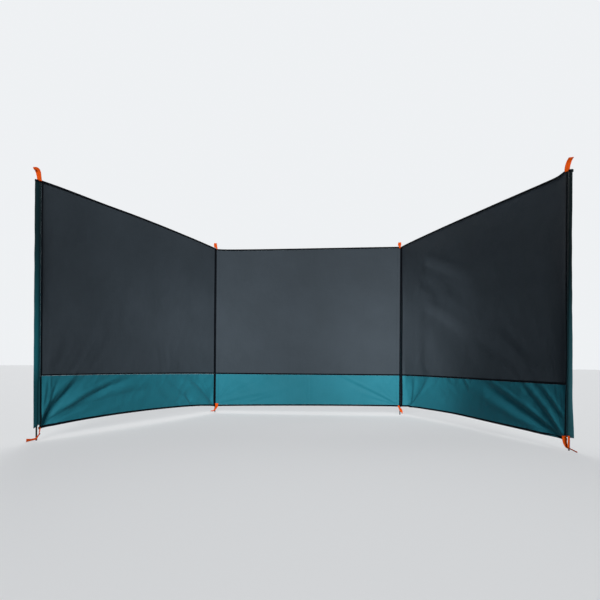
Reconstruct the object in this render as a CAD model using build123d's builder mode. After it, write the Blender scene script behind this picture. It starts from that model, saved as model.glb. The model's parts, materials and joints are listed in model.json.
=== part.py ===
"""Beach windbreak: cloth bays on poles that stand in the ground, with the outer bays turned
in to make a bay out of the wind.

Millimetres, +Z up, ground at z = 0.  The origin is the foot of the left inner pole.  +X runs
along the middle bay to the right inner pole, and the outer bays turn towards -Y, which is the
sheltered side, called the front here.
"""

import os
from collections import namedtuple
from math import cos, radians, sin

from build123d import *

# The cloth bays
bay_length = 1500
cloth_height = 1280
band_height = 258
ground_gap = 60
wing_turn = 67.5
cloth_thickness = 2
left_hem_rise = 30
middle_hem_rise = 3
right_hem_rise = 16
left_top_sag = 1
middle_top_sag = 6
right_top_sag = 3

# Black binding, the tapes over the seams, and the piping that the bays fold on
tape_thickness = 0.8
binding_height = 12
seam_tape_height = 9
fold_tape_width = 5
fold_tape_start = 4
end_tape_width = 14
piping_radius = 2.2
fold_clearance = 0.45

# Poles, with a plug in the top of each and a spike in the bottom
pole_diameter = 11
pole_wall = 1
spike_diameter = 8
shoulder_height = 4
shoulder_above_hem = 15
spike_stem_length = 40
plug_head_height = 4
plug_stem_length = 18
plug_chamfer = 1.5
stem_clearance = 0.1

# Sleeves that the poles slide into
sleeve_wall = 1.2
sleeve_clearance = 0.3
sleeve_width = 34
sleeve_seam_width = 2.5
sleeve_closure = 2
inner_pole_setback = 12

# Webbing: a tab on top of each pole and a strap at each foot
webbing_width = 25
tab_thickness = 3
tab_height = 58
tab_bend_height = 26
tab_bend_radius = 30
left_tab_lean = 26
right_tab_lean = 16
inner_tab_lean = 2
left_tab_inset = 12
right_tab_inset = 6
strap_thickness = 1.6
strap_lie = 4
strap_tail = 45
strap_foot_width = 9
strap_foot_gap = 1.5
strap_bow = 5
inner_strap_start = -2
loop_leg_width = 6
eyelet_clearance = 0.3

os.makedirs("parts", exist_ok=True)

top_height = ground_gap + cloth_height
seam_height = ground_gap + band_height
half_cloth = cloth_thickness / 2
half_bound = half_cloth + tape_thickness
pole_radius = pole_diameter / 2
bore_radius = pole_radius - pole_wall
sleeve_half_depth = pole_radius + sleeve_clearance + sleeve_wall
sleeve_half_width = sleeve_width / 2
closure_underside = top_height - tape_thickness - sleeve_closure
pole_top = closure_underside - plug_head_height
pole_bottom = ground_gap + shoulder_above_hem + shoulder_height

# Where the poles stand, and the two lines that the cloth folds on, from left to right
turn = radians(wing_turn)
left_fold = Vector(0, -inner_pole_setback, 0)
right_fold = Vector(bay_length, -inner_pole_setback, 0)
left_outer_foot = left_fold + Vector(-cos(turn), -sin(turn), 0) * bay_length
right_outer_foot = right_fold + Vector(cos(turn), -sin(turn), 0) * bay_length


def upright(foot, towards):
    """The upright plane through a foot: x runs level in the direction given, y runs up."""
    return Plane(origin=foot, x_dir=towards, z_dir=towards.cross(Vector(0, 0, 1)))


def level(foot, towards, height):
    """The level plane at a height over a foot, with x in the direction given."""
    return Plane(origin=foot + Vector(0, 0, height), x_dir=towards, z_dir=(0, 0, 1))


# start and end are how far the cloth reaches along the bay, bound_start and bound_end are
# the same for its bindings and tapes
Bay = namedtuple("Bay", "name plane start end bound_start bound_end hem_rise top_sag")

fold_edge = piping_radius + fold_clearance
bays = [
    Bay(
        "left",
        upright(left_outer_foot, (left_fold - left_outer_foot).normalized()),
        sleeve_half_width,
        bay_length - fold_edge,
        sleeve_half_width,
        bay_length - fold_tape_start,
        left_hem_rise,
        left_top_sag,
    ),
    Bay(
        "middle",
        upright(left_fold, Vector(1, 0, 0)),
        piping_radius,
        bay_length - piping_radius,
        fold_tape_start,
        bay_length - fold_tape_start,
        middle_hem_rise,
        middle_top_sag,
    ),
    Bay(
        "right",
        upright(right_fold, (right_outer_foot - right_fold).normalized()),
        fold_edge,
        bay_length - sleeve_half_width,
        fold_tape_start,
        bay_length - sleeve_half_width,
        right_hem_rise,
        right_top_sag,
    ),
]
left_bay, middle_bay, right_bay = bays


def keep(piece, name):
    """Label a finished piece and write it."""
    piece.part.label = name
    export_step(piece.part, f"parts/{name}.step")


def level_line(height, crown):
    """A line right along a bay that is crown higher at mid-bay than at its ends."""
    return Bezier((0, height), (bay_length / 2, height + 2 * crown), (bay_length, height))


def strip(lower, lower_crown, upper, upper_crown, start, end):
    """The flat shape between two lines along a bay, from start to end."""
    with BuildSketch(Plane.XY) as shape:
        with BuildLine():
            level_line(lower, lower_crown)
            Line((bay_length, lower), (bay_length, upper))
            level_line(upper, upper_crown)
            Line((0, upper), (0, lower))
        make_face()
        with Locations(((start + end) / 2, (lower + upper) / 2)):
            Rectangle(end - start, 2 * cloth_height, mode=Mode.INTERSECT)
    return shape.sketch


def hem_at(bay, distance):
    """Height of a bay's bottom edge at a distance along it."""
    share = distance / bay_length
    return ground_gap + 4 * bay.hem_rise * share * (1 - share)


def build_panel(bay):
    """The dark cloth, from the seam up into the top binding."""
    with BuildPart() as panel:
        with BuildSketch(bay.plane):
            upper = top_height - tape_thickness
            add(strip(seam_height, 0, upper, -bay.top_sag, bay.start, bay.end))
        extrude(amount=half_cloth, both=True)
    keep(panel, f"{bay.name}_panel")


def build_band(bay):
    """The coloured band below the seam, down into the hem binding."""
    with BuildPart() as band:
        with BuildSketch(bay.plane):
            lower = ground_gap + tape_thickness
            add(strip(lower, bay.hem_rise, seam_height, 0, bay.start, bay.end))
        extrude(amount=half_cloth, both=True)
    keep(band, f"{bay.name}_band")


def build_hem_binding(bay):
    """A tape folded over the bottom edge of the cloth."""
    rise = bay.hem_rise
    upper = ground_gap + binding_height
    with BuildPart() as binding:
        with BuildSketch(bay.plane):
            add(strip(ground_gap, rise, upper, rise, bay.bound_start, bay.bound_end))
        extrude(amount=half_bound, both=True)
        with BuildSketch(bay.plane):
            add(strip(ground_gap + tape_thickness, rise, upper, rise, 0, bay_length))
        extrude(amount=half_cloth, both=True, mode=Mode.SUBTRACT)
    keep(binding, f"{bay.name}_hem_binding")


def lens(half_width, half_depth, half_neck, neck_reach):
    """The plan of an end sleeve: two bowed sides from a sharp outer edge to a neck."""
    with BuildSketch(Plane.XY) as shape:
        with BuildLine():
            ThreePointArc((neck_reach, half_neck), (0, half_depth), (-half_width, 0))
            ThreePointArc((-half_width, 0), (0, -half_depth), (neck_reach, -half_neck))
            if half_neck:
                Line((neck_reach, -half_neck), (neck_reach, half_neck))
        make_face()
    return shape.sketch


def build_top_binding(bay, foot=None, inward=None):
    """A tape folded over the top edge, and on an outer bay over the sleeve's end too."""
    sag = bay.top_sag
    lower = top_height - binding_height
    with BuildPart() as binding:
        with BuildSketch(bay.plane):
            add(strip(lower, -sag, top_height, -sag, bay.bound_start, bay.bound_end))
        extrude(amount=half_bound, both=True)
        with BuildSketch(bay.plane):
            add(strip(lower, -sag, top_height - tape_thickness, -sag, 0, bay_length))
        extrude(amount=half_cloth, both=True, mode=Mode.SUBTRACT)
        if foot is not None:
            with BuildSketch(level(foot, inward, lower)):
                outer_width = sleeve_half_width + tape_thickness
                outer_depth = sleeve_half_depth + tape_thickness
                add(lens(outer_width, outer_depth, half_bound, sleeve_half_width))
            extrude(amount=binding_height)
            with BuildSketch(level(foot, inward, lower)):
                add(lens(sleeve_half_width, sleeve_half_depth, half_cloth, sleeve_half_width))
            extrude(amount=binding_height - tape_thickness, mode=Mode.SUBTRACT)
    keep(binding, f"{bay.name}_top_binding")


def build_seam_tape(bay):
    """The tape over the seam between the dark cloth and the band."""
    lower = seam_height - seam_tape_height / 2
    upper = seam_height + seam_tape_height / 2
    start = bay.bound_start + (end_tape_width if bay.name == "left" else fold_tape_width)
    end = bay.bound_end - (end_tape_width if bay.name == "right" else fold_tape_width)
    with BuildPart() as tape:
        with BuildSketch(bay.plane.offset(half_cloth)):
            add(strip(lower, 0, upper, 0, start, end))
        extrude(amount=tape_thickness)
    keep(tape, f"{bay.name}_seam_tape")


def upright_tape(bay, start, width):
    """The outline of a tape that runs up a bay from the hem binding to the top one."""
    lower = ground_gap + binding_height
    upper = top_height - binding_height
    return strip(lower, bay.hem_rise, upper, -bay.top_sag, start, start + width)


def build_upright_tape(name, bay, start, width):
    """A tape on the front of an outer bay, beside its sleeve or beside the fold."""
    with BuildPart() as tape:
        with BuildSketch(bay.plane.offset(half_cloth)):
            add(upright_tape(bay, start, width))
        extrude(amount=tape_thickness)
    keep(tape, name)


def build_fold_piping(side, fold, start, width):
    """The round piping that the outer bay turns on, with its tape on the middle bay."""
    with BuildPart() as piping:
        with BuildSketch(level(fold, Vector(1, 0, 0), ground_gap)):
            Circle(piping_radius)
        extrude(amount=cloth_height)
        with BuildSketch(middle_bay.plane.offset(half_cloth)):
            add(upright_tape(middle_bay, start, width))
        extrude(amount=tape_thickness)
    keep(piping, f"{side}_fold_piping")


def build_end_sleeve(side, foot, inward):
    """The flat sleeve at the end of an outer bay, closed over the top of its pole."""
    height = cloth_height - tape_thickness
    inner_width = sleeve_half_width - sleeve_seam_width
    with BuildPart() as sleeve:
        with BuildSketch(level(foot, inward, ground_gap)):
            add(lens(sleeve_half_width, sleeve_half_depth, half_cloth, sleeve_half_width))
        extrude(amount=height)
        with BuildSketch(level(foot, inward, ground_gap)):
            add(lens(inner_width, sleeve_half_depth - sleeve_wall, 0, inner_width))
        extrude(amount=height - sleeve_closure, mode=Mode.SUBTRACT)
    keep(sleeve, f"{side}_end_sleeve")


def build_fold_sleeve(side, foot):
    """The drop-shaped sleeve behind a fold: round about its pole, drawn in to the piping."""
    neck_reach = inner_pole_setback - piping_radius
    with BuildPart() as sleeve:
        with BuildSketch(level(foot, Vector(1, 0, 0), ground_gap)):
            Circle(sleeve_half_depth)
            with Locations((0, -neck_reach + sleeve_wall / 2)):
                Rectangle(2 * sleeve_wall, sleeve_wall)
            make_hull()
        extrude(amount=cloth_height)
        with BuildSketch(level(foot, Vector(1, 0, 0), ground_gap)):
            Circle(pole_radius + sleeve_clearance)
        extrude(amount=closure_underside - ground_gap, mode=Mode.SUBTRACT)
    keep(sleeve, f"{side}_fold_sleeve")


def build_pole(name, foot):
    """A thin steel tube."""
    with BuildPart() as pole:
        with BuildSketch(level(foot, Vector(1, 0, 0), pole_bottom)):
            Circle(pole_radius)
            Circle(bore_radius, mode=Mode.SUBTRACT)
        extrude(amount=pole_top - pole_bottom)
    keep(pole, f"{name}_pole")


def build_spike(name, foot):
    """The turned spike under a pole, cut off level where it enters the ground."""
    shoulder = pole_bottom - shoulder_height
    stem_radius = bore_radius - stem_clearance
    with BuildPart() as spike:
        with BuildSketch(upright(foot, Vector(1, 0, 0))):
            with BuildLine():
                Polyline(
                    (0, 0),
                    (spike_diameter / 2, 0),
                    (spike_diameter / 2, shoulder - (pole_diameter - spike_diameter) / 2),
                    (pole_radius, shoulder),
                    (pole_radius, pole_bottom),
                    (stem_radius, pole_bottom),
                    (stem_radius, pole_bottom + spike_stem_length),
                    (0, pole_bottom + spike_stem_length),
                    close=True,
                )
            make_face()
        revolve(axis=Axis(foot, (0, 0, 1)))
    keep(spike, f"{name}_spike")


def build_plug(name, foot):
    """The plastic plug that keeps the top of a pole from wearing through its sleeve."""
    stem_radius = bore_radius - stem_clearance
    with BuildPart() as plug:
        with BuildSketch(level(foot, Vector(1, 0, 0), pole_top)):
            Circle(pole_radius)
        extrude(amount=plug_head_height)
        chamfer(plug.edges().group_by(Axis.Z)[-1], length=plug_chamfer)
        with BuildSketch(level(foot, Vector(1, 0, 0), pole_top)):
            Circle(stem_radius)
        extrude(amount=-plug_stem_length)
    keep(plug, f"{name}_plug")


def build_top_tab(name, foot, inward, inset, lean):
    """Webbing doubled over the top of a pole and sewn flat, leaning away from the bay."""
    base = foot + inward * inset
    with BuildPart() as tab:
        with BuildLine(upright(base + Vector(0, 0, top_height), inward)) as path:
            FilletPolyline(
                (0, 0), (0, tab_bend_height), (-lean, tab_height), radius=tab_bend_radius
            )
        with BuildSketch(level(base, inward, top_height)):
            Rectangle(webbing_width, tab_thickness)
        sweep(path=path.wires()[0])
    keep(tab, f"{name}_top_tab")


def build_foot_strap(name, foot, inward, bay, is_outer):
    """Webbing that narrows as it comes down from the hem, and lies out past the spike.

    The spike passes the eyelet in the flat part.  At an outer pole the webbing is sewn over
    the front of the binding, and a narrow leg closes the loop up to the front of the sleeve.
    """
    front = bay.plane.z_dir
    flat_top = strap_lie + strap_thickness
    if is_outer:
        leg_depth = half_bound + strap_thickness / 2
        leg_rise = binding_height
        leg_start = sleeve_half_width
        foot_start = spike_diameter / 2 + strap_foot_gap
    else:
        leg_depth = inner_pole_setback
        leg_rise = 0
        leg_start = inner_strap_start
        foot_start = inner_strap_start
    leg_end = leg_start + webbing_width
    foot_end = foot_start + strap_foot_width
    near_top = min(hem_at(bay, leg_start), hem_at(bay, leg_end)) + leg_rise
    bow_point = ((leg_start + foot_start) / 2 + strap_bow, (near_top + flat_top) / 2)
    with BuildPart() as strap:
        with BuildSketch(upright(foot + front * leg_depth, inward)):
            with BuildLine():
                Polyline(
                    (leg_start, near_top),
                    (leg_end, near_top),
                    (foot_end, flat_top),
                    (foot_start, flat_top),
                )
                ThreePointArc((foot_start, flat_top), bow_point, (leg_start, near_top))
            make_face()
        extrude(amount=strap_thickness / 2, both=True)
        with BuildSketch(level(foot, inward, strap_lie)):
            with Locations(((foot_end - strap_tail) / 2, 0)):
                Rectangle(foot_end + strap_tail, webbing_width)
        extrude(amount=strap_thickness)
        if is_outer:
            loop_depth = sleeve_half_depth - strap_thickness / 2
            with BuildSketch(upright(foot + front * loop_depth, inward)):
                with Locations((loop_leg_width / 2, (ground_gap + flat_top) / 2)):
                    Rectangle(loop_leg_width, ground_gap - flat_top)
            extrude(amount=strap_thickness / 2, both=True)
        with BuildSketch(level(foot, inward, 0)):
            Circle(spike_diameter / 2 + eyelet_clearance)
        extrude(amount=2 * strap_lie, mode=Mode.SUBTRACT)
    keep(strap, f"{name}_foot_strap")


left_inward = (left_fold - left_outer_foot).normalized()
right_inward = (right_fold - right_outer_foot).normalized()
left_inner_foot = Vector(0, 0, 0)
right_inner_foot = Vector(bay_length, 0, 0)

for bay in bays:
    build_panel(bay)
    build_band(bay)
    build_hem_binding(bay)
    build_seam_tape(bay)
build_top_binding(left_bay, left_outer_foot, left_inward)
build_top_binding(middle_bay)
build_top_binding(right_bay, right_outer_foot, right_inward)

left_tape_start = left_bay.bound_end - fold_tape_width
right_end_start = right_bay.bound_end - end_tape_width
build_upright_tape("left_fold_tape", left_bay, left_tape_start, fold_tape_width)
build_upright_tape("right_fold_tape", right_bay, right_bay.bound_start, fold_tape_width)
build_upright_tape("left_end_tape", left_bay, left_bay.bound_start, end_tape_width)
build_upright_tape("right_end_tape", right_bay, right_end_start, end_tape_width)
piping_reach = fold_tape_start + fold_tape_width
build_fold_piping("left", left_fold, 0, piping_reach)
build_fold_piping("right", right_fold, bay_length - piping_reach, piping_reach)

build_end_sleeve("left", left_outer_foot, left_inward)
build_end_sleeve("right", right_outer_foot, right_inward)
build_fold_sleeve("left", left_inner_foot)
build_fold_sleeve("right", right_inner_foot)

# name, foot, direction to the bay it carries, that bay, then its tab's place and lean
stands = [
    ("left_outer", left_outer_foot, left_inward, left_bay, left_tab_inset, left_tab_lean),
    ("left_inner", left_inner_foot, Vector(1, 0, 0), middle_bay, 0, inner_tab_lean),
    ("right_inner", right_inner_foot, Vector(-1, 0, 0), middle_bay, 0, inner_tab_lean),
    ("right_outer", right_outer_foot, right_inward, right_bay, right_tab_inset, right_tab_lean),
]
for name, foot, inward, bay, tab_inset, tab_lean in stands:
    build_pole(name, foot)
    build_spike(name, foot)
    build_plug(name, foot)
    build_top_tab(name, foot, inward, tab_inset, tab_lean)
    build_foot_strap(name, foot, inward, bay, bay is not middle_bay)
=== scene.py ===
# %% [markdown]
# # A beach windbreak
#
# Three bays of coated cloth hang between four thin poles.  The outer bays are turned in, so
# that the cloth makes a room out of the wind.  Each bay is charcoal with a teal band below,
# edged in black binding, and orange webbing shows at the head and the foot of every pole.
#
# The construction is already made and packed: every pole, joint and piece of cloth is in the
# frame at its real size, in metres.  This lesson dresses it.  The poles, spikes and plugs only
# get a finish.  Everything that is sewn is made again as cloth, in the place of its solid.

# %% Load the frame
import json
from math import acos, atan2, cos, exp, floor, pi, radians, sin, tau

import bmesh
import bpy
from mathutils import Matrix, Vector, noise


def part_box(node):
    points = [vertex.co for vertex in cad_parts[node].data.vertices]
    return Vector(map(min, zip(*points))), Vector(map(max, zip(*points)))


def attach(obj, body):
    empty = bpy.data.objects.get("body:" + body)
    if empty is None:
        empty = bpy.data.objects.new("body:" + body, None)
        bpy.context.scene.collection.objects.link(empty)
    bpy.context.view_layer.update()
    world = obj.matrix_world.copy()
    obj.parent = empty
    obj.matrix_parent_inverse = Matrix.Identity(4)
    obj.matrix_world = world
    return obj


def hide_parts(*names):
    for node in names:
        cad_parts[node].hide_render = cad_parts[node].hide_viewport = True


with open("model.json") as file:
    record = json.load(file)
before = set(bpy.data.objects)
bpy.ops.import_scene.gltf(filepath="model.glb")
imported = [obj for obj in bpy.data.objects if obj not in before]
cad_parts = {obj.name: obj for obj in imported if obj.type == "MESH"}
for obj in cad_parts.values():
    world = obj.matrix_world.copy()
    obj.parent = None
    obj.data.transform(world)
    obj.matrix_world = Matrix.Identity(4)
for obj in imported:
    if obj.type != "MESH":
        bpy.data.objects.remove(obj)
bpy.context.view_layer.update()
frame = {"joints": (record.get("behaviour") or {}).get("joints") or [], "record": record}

scene = bpy.context.scene

# %% [markdown]
# ## Camera
#
# The picture is taken with a wide lens from knee height, a little right of the middle bay's
# middle, and level but for a slight roll.  A level camera keeps the poles upright.  The
# horizon then falls below the middle of the picture, which is the lens shifted up and not the
# camera tilted.

# %% Camera
CAMERA_PLACE = Vector((0.918, -3.599, 0.412))
CAMERA_YAW = radians(3.52)
CAMERA_ROLL = radians(0.43)
LENS_MM = 26.68
LENS_SHIFT = 0.104

camera_data = bpy.data.cameras.new("camera")
camera_data.lens = LENS_MM
camera_data.shift_y = LENS_SHIFT
camera = bpy.data.objects.new("camera", camera_data)
camera.matrix_world = (
    Matrix.Translation(CAMERA_PLACE)
    @ Matrix.Rotation(CAMERA_YAW, 4, "Z")
    @ Matrix.Rotation(pi / 2, 4, "X")
    @ Matrix.Rotation(CAMERA_ROLL, 4, "Z")
)
scene.collection.objects.link(camera)
scene.camera = camera

# %% [markdown]
# ## Shader arithmetic
#
# A material is a small network of nodes.  Written out node by node it is long and hard to
# read, so a socket is wrapped in a class whose operators add the Math nodes: `1 - mask * 0.3`
# then makes two nodes.  Every other node comes from one method, `node`, which takes its type,
# its settings and what goes into its sockets.  `Finish` is a material with a Principled shader
# to feed, and it can ask for a place on the flat cloth or on the piece itself.

# %% Shader arithmetic
class Signal:
    """What a socket gives: a number, colour or place that varies over the surface."""

    def __init__(self, network, socket):
        self.network = network
        self.socket = socket

    def math(self, operation, *others, reflected=False):
        values = [self, *others]
        if reflected:
            values.reverse()
        return self.network.node("ShaderNodeMath", {"operation": operation}, dict(enumerate(values)))

    def __add__(self, other):
        return self.math("ADD", other)

    def __radd__(self, other):
        return self.math("ADD", other)

    def __sub__(self, other):
        return self.math("SUBTRACT", other)

    def __rsub__(self, other):
        return self.math("SUBTRACT", other, reflected=True)

    def __mul__(self, other):
        return self.math("MULTIPLY", other)

    def __rmul__(self, other):
        return self.math("MULTIPLY", other)

    def sine(self):
        return self.math("SINE")

    def between(self, low, high):
        """0 below low, 1 above high, and a soft step between."""
        settings = {"interpolation_type": "SMOOTHSTEP"}
        inputs = {0: self, 1: low, 2: high, 3: 0.0, 4: 1.0}
        return self.network.node("ShaderNodeMapRange", settings, inputs)


class Network:
    """A tree of nodes, in a material or in the world."""

    def __init__(self, tree):
        self.tree = tree

    def node(self, kind, settings=None, inputs=None, output=0):
        """Adds a node and returns one of its outputs."""
        made = self.tree.nodes.new(kind)
        for name, value in (settings or {}).items():
            setattr(made, name, value)
        for key, value in (inputs or {}).items():
            if isinstance(value, Signal):
                self.tree.links.new(value.socket, made.inputs[key])
            else:
                made.inputs[key].default_value = value
        return Signal(self, made.outputs[output])

    def end_with(self, output, surface):
        """Makes a shader what the whole tree gives."""
        self.tree.links.new(surface.socket, self.tree.nodes[output].inputs["Surface"])


class Finish(Network):
    """A material under construction, with a Principled shader to feed."""

    def __init__(self, name, **constants):
        self.material = bpy.data.materials.new(name)
        self.material.use_nodes = True
        super().__init__(self.material.node_tree)
        self.shader = self.tree.nodes["Principled BSDF"]
        for socket, value in constants.items():
            self.shader.inputs[socket.replace("_", " ")].default_value = value
        finishes[name] = self

    def feed(self, socket, signal):
        self.tree.links.new(signal.socket, self.shader.inputs[socket])

    def on_pattern(self):
        """The place on the flat cloth, then how far along and across it that is, in metres."""
        spot = self.node("ShaderNodeUVMap", {"uv_map": PATTERN_MAP})
        return spot, *[self.node("ShaderNodeSeparateXYZ", None, {0: spot}, k) for k in (0, 1)]

    def on_piece(self):
        """The place on the piece itself, in metres."""
        return self.node("ShaderNodeTexCoord", output="Object")

    def cloudy(self, where, scale, detail=3.0, stretch=(1.0, 1.0, 1.0)):
        """Soft noise from 0 to 1, finer with scale and drawn out by stretch."""
        spread = self.node("ShaderNodeVectorMath", {"operation": "MULTIPLY"}, {0: where, 1: stretch})
        return self.node("ShaderNodeTexNoise", None, {"Vector": spread, "Scale": scale, "Detail": detail})

    def tint(self, amount, low, high):
        """A colour that goes from low to high as amount goes from 0 to 1."""
        settings = {"data_type": "RGBA"}
        colours = [end if isinstance(end, Signal) else (*end, 1.0) for end in (low, high)]
        inputs = {"Factor": amount, 6: colours[0], 7: colours[1]}
        return self.node("ShaderNodeMix", settings, inputs, 2)

    def bump(self, height, strength, distance):
        relief = self.node(
            "ShaderNodeBump", None, {"Height": height, "Strength": strength, "Distance": distance}
        )
        self.feed("Normal", relief)


PATTERN_MAP = "pattern"
finishes = {}

# %% [markdown]
# ## Floor, backdrop and light
#
# The object stands on a plain pale floor against a pale backdrop.  Both are shown to the
# camera by Light Path, so that no extra light is thrown on the cloth to whiten them.  What
# light comes from all round is weak and a little blue, as from a clear sky.  The key light is
# broad and comes from behind the camera, a little to the right: the middle bay faces it, and
# the outer bays take it at a slant and stay darker.  The floor throws little light up, or it
# would fill the outer bays.  A weaker light from behind falls on the back of the cloth.  Two
# soft pools of light cross in front, and each brightens the cloth beside one fold.

# %% Floor and backdrop
FLOOR_RADIUS = 40.0
BACKDROP = (0.86, 0.88, 0.9)
FLOOR_COLOUR = (0.8, 0.8, 0.79)
FLOOR_SEEN_FROM_THE_CLOTH = (0.12, 0.12, 0.12)
FLOOR_GLOW = 0.5
AMBIENT = (0.80, 0.90, 1.20)
AMBIENT_STRENGTH = 0.07


def seen_directly(network):
    """1 for what the camera, a reflection or clear plastic shows, 0 for light on the object."""
    path = network.tree.nodes.new("ShaderNodeLightPath")
    rays = ("Is Camera Ray", "Is Glossy Ray", "Is Transmission Ray")
    camera_ray, glossy_ray, clear_ray = [Signal(network, path.outputs[ray]) for ray in rays]
    return camera_ray.math("MAXIMUM", glossy_ray).math("MAXIMUM", clear_ray)


world = bpy.data.worlds.new("backdrop")
world.use_nodes = True
scene.world = world
sky = Network(world.node_tree)
ambient = sky.tree.nodes["Background"]
ambient.inputs["Color"].default_value = (*AMBIENT, 1.0)
ambient.inputs["Strength"].default_value = AMBIENT_STRENGTH
backdrop = sky.node("ShaderNodeBackground", None, {"Color": (*BACKDROP, 1.0)})
sky_parts = {0: seen_directly(sky), 1: Signal(sky, ambient.outputs[0]), 2: backdrop}
sky.end_with("World Output", sky.node("ShaderNodeMixShader", None, sky_parts))

floor_bm = bmesh.new()
bmesh.ops.create_circle(floor_bm, cap_ends=True, segments=96, radius=FLOOR_RADIUS)
floor_mesh = bpy.data.meshes.new("floor")
floor_bm.to_mesh(floor_mesh)
floor_bm.free()
floor_piece = bpy.data.objects.new("floor", floor_mesh)
scene.collection.objects.link(floor_piece)
floor_finish = Finish("floor", Roughness=0.9)
floor_seen = seen_directly(floor_finish)
floor_finish.feed("Base Color", floor_finish.tint(floor_seen, FLOOR_SEEN_FROM_THE_CLOTH, FLOOR_COLOUR))
glow = floor_finish.node("ShaderNodeEmission", None, {"Color": (*BACKDROP, 1.0)})
lit = Signal(floor_finish, floor_finish.shader.outputs[0])
floor_parts = {0: floor_seen * FLOOR_GLOW, 1: lit, 2: glow}
floor_finish.end_with("Material Output", floor_finish.node("ShaderNodeMixShader", None, floor_parts))
floor_mesh.materials.append(floor_finish.material)

# %% Lights
KEY_FROM = Vector((0.18, -1.0, 0.36))
KEY_STRENGTH = 2.5
KEY_SOFTNESS = radians(20)
BACK_FROM = Vector((-0.2, 1.0, 0.55))
BACK_STRENGTH = 1.8
BACK_SOFTNESS = radians(40)
SUN_DISTANCE = 10.0
POOL_CONE = radians(21)
POOL_LAMP_RADIUS = 0.35


def hang_lamp(lamp, place, backwards):
    """Hangs a lamp at a place.  backwards is the direction from which its light comes."""
    holder = bpy.data.objects.new(lamp.name, lamp)
    holder.rotation_mode = "QUATERNION"
    holder.rotation_quaternion = backwards.to_track_quat("Z", "Y")
    holder.location = place
    scene.collection.objects.link(holder)


def sun(name, direction, strength, softness):
    """A broad, even light from a direction."""
    lamp = bpy.data.lights.new(name, "SUN")
    lamp.energy = strength
    lamp.angle = softness
    hang_lamp(lamp, direction * SUN_DISTANCE, direction)


def pool(name, place, aim, power):
    """A soft-edged pool of light."""
    lamp = bpy.data.lights.new(name, "SPOT")
    lamp.energy = power
    lamp.spot_size = POOL_CONE
    lamp.spot_blend = 1.0
    lamp.shadow_soft_size = POOL_LAMP_RADIUS
    hang_lamp(lamp, place, place - aim)


pool("right_pool", place=Vector((-1.0, -3.5, 1.2)), aim=Vector((1.53, -0.1, 0.48)), power=450)
pool("left_pool", place=Vector((2.5, -3.5, 1.2)), aim=Vector((-0.03, -0.18, 0.56)), power=300)
sun("key_light", KEY_FROM, KEY_STRENGTH, KEY_SOFTNESS)
sun("back_light", BACK_FROM, BACK_STRENGTH, BACK_SOFTNESS)
scene.view_settings.view_transform = "Standard"

# %% [markdown]
# ## The bays as places to sew
#
# Every piece of cloth is cut flat and then hung.  A bay is a set of directions to hang it by:
# `along` runs from its left pole to its right one, up is up, and `front` points to the
# sheltered side.  A place on a bay is (u, v, w): so far along, so high, so far in front.  The
# poles' places come from the frame's joints and mounts, so nothing is measured twice.

# %% Bays
UP = Vector((0, 0, 1))
fold_at = {joint["child"].split("_")[0]: Vector(joint["pos_m"]) for joint in frame["joints"]}
foot_at = {m["name"].removesuffix("_foot"): Vector(m["pos_m"]) for m in frame["record"]["mounts"]}


def clamp(value):
    return max(0.0, min(1.0, value))


def ease(value):
    """0 to 1 with a soft start and a soft end."""
    value = clamp(value)
    return value * value * (3 - 2 * value)


def mix(a, b, share):
    return a + (b - a) * share


def arch(share, lean=1.0, fullness=1.0):
    """A bow from 0 over 1 back to 0.  lean under 1 moves its top towards the start."""
    share = clamp(share) ** lean
    return (4 * share * (1 - share)) ** fullness


class Bay:
    """One bay of cloth, from its left end to its right end as seen from the front."""

    def __init__(self, name, body, start, end):
        self.name = name
        self.body = body
        self.start = start
        self.along = (end - start).normalized()
        self.front = self.along.cross(UP)
        self.length = (end - start).length

    def place(self, u, v, w=0.0):
        return self.start + self.along * u + UP * v + self.front * w


left = Bay("left", "left_wing", foot_at["left_outer"], fold_at["left"])
middle = Bay("middle", "middle_bay", fold_at["left"], fold_at["right"])
right = Bay("right", "right_wing", fold_at["right"], foot_at["right_outer"])
bays = [left, middle, right]
hem_height, top_height = (corner.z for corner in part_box("left_fold_piping"))
seam_height = sum(corner.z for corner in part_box("middle_seam_tape")) / 2
print("bay", round(middle.length, 3), "cloth from", round(hem_height, 3), "to", round(top_height, 3))

# %% [markdown]
# ## How the edges run
#
# The hem isn't level.  It hangs from the straps at the poles and is drawn up between them, so
# it bows upwards, most on the left bay.  The top edge sags on the middle bay and rises a little
# on the outer ones, where the cloth falls back, and the tab draws a small peak beside the right
# outer pole.  On the left bay the seam over the band climbs towards the outer pole.  Three short
# functions say how high the hem, the seam and the top edge are at any place along a bay.

# %% Edges
left.hem = {"start": -0.007, "end": -0.013, "bow": 0.034, "lean": 1.0}
middle.hem = {"start": -0.012, "end": 0.005, "bow": 0.007, "lean": 1.0}
right.hem = {"start": 0.004, "end": -0.015, "bow": 0.014, "lean": 0.8}
left.top = {"rise": 0.020, "lean": 0.62, "peak": 0.0}
middle.top = {"rise": -0.012, "lean": 0.4, "peak": 0.0}
right.top = {"rise": 0.0105, "lean": 0.9, "peak": 0.010}
HEM_FULLNESS = 0.7
PEAK_FROM_POLE = 0.030
PEAK_REACH = 0.035
LEFT_SEAM_CLIMB = 0.018


def hem_at(bay, u):
    share = u / bay.length
    level = hem_height + mix(bay.hem["start"], bay.hem["end"], share)
    return level + bay.hem["bow"] * arch(share, bay.hem["lean"], HEM_FULLNESS)


def top_at(bay, u):
    peak = bay.top["peak"] * exp(-(((bay.length - PEAK_FROM_POLE - u) / PEAK_REACH) ** 2))
    return top_height + bay.top["rise"] * arch(u / bay.length, bay.top["lean"]) + peak


def seam_at(bay, u):
    climb = LEFT_SEAM_CLIMB * (1 - (u / bay.length) ** 2) if bay is left else 0.0
    return seam_height + climb


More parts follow.
